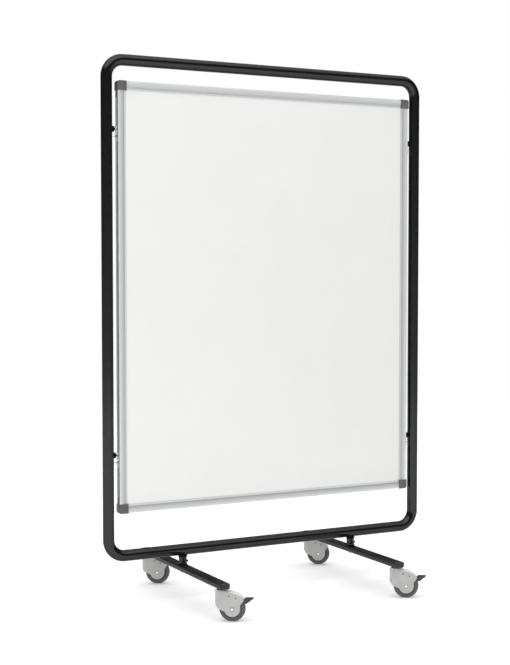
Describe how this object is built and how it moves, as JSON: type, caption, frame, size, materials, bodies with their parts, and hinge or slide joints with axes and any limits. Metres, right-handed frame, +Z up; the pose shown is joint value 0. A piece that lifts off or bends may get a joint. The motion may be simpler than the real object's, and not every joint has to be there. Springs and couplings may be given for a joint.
{
  "type": "rolling whiteboard",
  "caption": "Mobile whiteboard: framed double-sided board hung in a bent tube hoop on two feet with swivel casters, the front ones braked.",
  "frame": {"origin": "on the floor, in the middle of the footprint (the hoop's plane is 14.3 mm behind it, because the front brake pedals stick out)", "axes": "+Z up, the board's writing face looks along -Y, +X to the right as seen from behind the board's back, that is to the right of a viewer who looks along +Y at the writing face"},
  "size_m": [1.314, 0.7186, 1.9305],
  "materials": {
    "black_powder_coat": "satin powder coat, fine texture",
    "black_plastic": "satin moulded plastic",
    "white_enamel": "gloss white writing enamel",
    "core_board": "raw fibreboard",
    "anodised_aluminium": "fine brushed, clear anodised",
    "grey_plastic": "satin moulded plastic",
    "nylon": "plain nylon",
    "grey_fork_paint": "satin grey paint",
    "grey_rubber": "matt grey rubber",
    "wheel_plastic": "moulded polypropylene",
    "brake_rubber": "matt rubber",
    "pedal_plastic": "satin moulded nylon",
    "polished_rivet": "polished steel",
    "dark_rivet": "dark oxide steel",
    "zinc_plate": "bright zinc plate"
  },
  "bodies": {
    "frame": {"frame_hoop": "black_powder_coat", "hoop_inserts": "zinc_plate", "left_post": "black_powder_coat", "right_post": "black_powder_coat", "post_saddles": "black_plastic", "post_bases": "black_plastic", "post_bolts": "zinc_plate", "post_washers": "zinc_plate", "post_side_screws": "black_plastic", "left_foot": "black_powder_coat", "right_foot": "black_powder_coat", "foot_end_caps": "black_plastic", "foot_inserts": "zinc_plate", "caster_stems": "zinc_plate", "caster_collars": "black_plastic", "thrust_washers": "nylon", "swivel_races": "zinc_plate", "front_sheet": "white_enamel", "core_panel": "core_board", "rear_sheet": "white_enamel", "top_profile": "anodised_aluminium", "bottom_profile": "anodised_aluminium", "left_profile": "anodised_aluminium", "right_profile": "anodised_aluminium", "corner_caps": "grey_plastic", "hanger_spacers": "black_plastic", "hanger_studs": "zinc_plate", "hanger_strips": "zinc_plate", "hanger_pins": "zinc_plate"},
    "front_left_swivel": {"front_left_fork": "grey_fork_paint", "front_left_rivets": "dark_rivet", "front_left_axle": "polished_rivet"},
    "front_left_wheel": {"front_left_tyre": "grey_rubber", "front_left_core": "wheel_plastic", "front_left_bush": "zinc_plate"},
    "front_left_brake": {"front_left_pedal": "pedal_plastic", "front_left_shoe": "brake_rubber"},
    "front_right_swivel": {"front_right_fork": "grey_fork_paint", "front_right_rivets": "dark_rivet", "front_right_axle": "polished_rivet"},
    "front_right_wheel": {"front_right_tyre": "grey_rubber", "front_right_core": "wheel_plastic", "front_right_bush": "zinc_plate"},
    "front_right_brake": {"front_right_pedal": "pedal_plastic", "front_right_shoe": "brake_rubber"},
    "rear_left_swivel": {"rear_left_fork": "grey_fork_paint", "rear_left_rivets": "dark_rivet", "rear_left_axle": "polished_rivet"},
    "rear_left_wheel": {"rear_left_tyre": "grey_rubber", "rear_left_core": "wheel_plastic", "rear_left_bush": "zinc_plate"},
    "rear_right_swivel": {"rear_right_fork": "grey_fork_paint", "rear_right_rivets": "dark_rivet", "rear_right_axle": "polished_rivet"},
    "rear_right_wheel": {"rear_right_tyre": "grey_rubber", "rear_right_core": "wheel_plastic", "rear_right_bush": "zinc_plate"}
  },
  "joints": [
    {"name": "front_left_swivel_turn", "type": "hinge", "parent": "frame", "child": "front_left_swivel", "pos_m": [-0.353, -0.29774, 0.1], "axis": [0, 0, 1], "continuous": true},
    {"name": "front_left_wheel_spin", "type": "hinge", "parent": "front_left_swivel", "child": "front_left_wheel", "pos_m": [-0.32162, -0.31735, 0.045], "axis": [0.5299, 0.848, 0], "continuous": true},
    {"name": "front_left_brake_press", "type": "hinge", "parent": "front_left_swivel", "child": "front_left_brake", "pos_m": [-0.31195, -0.32339, 0.0815], "axis": [0.5299, 0.848, 0], "range_deg": [0, 8], "stiffness_Nm_per_rad": 2, "springref_deg": -11.46},
    {"name": "front_right_swivel_turn", "type": "hinge", "parent": "frame", "child": "front_right_swivel", "pos_m": [0.353, -0.29774, 0.1], "axis": [0, 0, 1], "continuous": true},
    {"name": "front_right_wheel_spin", "type": "hinge", "parent": "front_right_swivel", "child": "front_right_wheel", "pos_m": [0.38438, -0.31735, 0.045], "axis": [0.5299, 0.848, 0], "continuous": true},
    {"name": "front_right_brake_press", "type": "hinge", "parent": "front_right_swivel", "child": "front_right_brake", "pos_m": [0.39405, -0.32339, 0.0815], "axis": [0.5299, 0.848, 0], "range_deg": [0, 8], "stiffness_Nm_per_rad": 2, "springref_deg": -11.46},
    {"name": "rear_left_swivel_turn", "type": "hinge", "parent": "frame", "child": "rear_left_swivel", "pos_m": [-0.353, 0.32626, 0.1], "axis": [0, 0, 1], "continuous": true},
    {"name": "rear_left_wheel_spin", "type": "hinge", "parent": "rear_left_swivel", "child": "rear_left_wheel", "pos_m": [-0.32162, 0.30665, 0.045], "axis": [0.5299, 0.848, 0], "continuous": true},
    {"name": "rear_right_swivel_turn", "type": "hinge", "parent": "frame", "child": "rear_right_swivel", "pos_m": [0.353, 0.32626, 0.1], "axis": [0, 0, 1], "continuous": true},
    {"name": "rear_right_wheel_spin", "type": "hinge", "parent": "rear_right_swivel", "child": "rear_right_wheel", "pos_m": [0.38438, 0.30665, 0.045], "axis": [0.5299, 0.848, 0], "continuous": true}
  ]
}
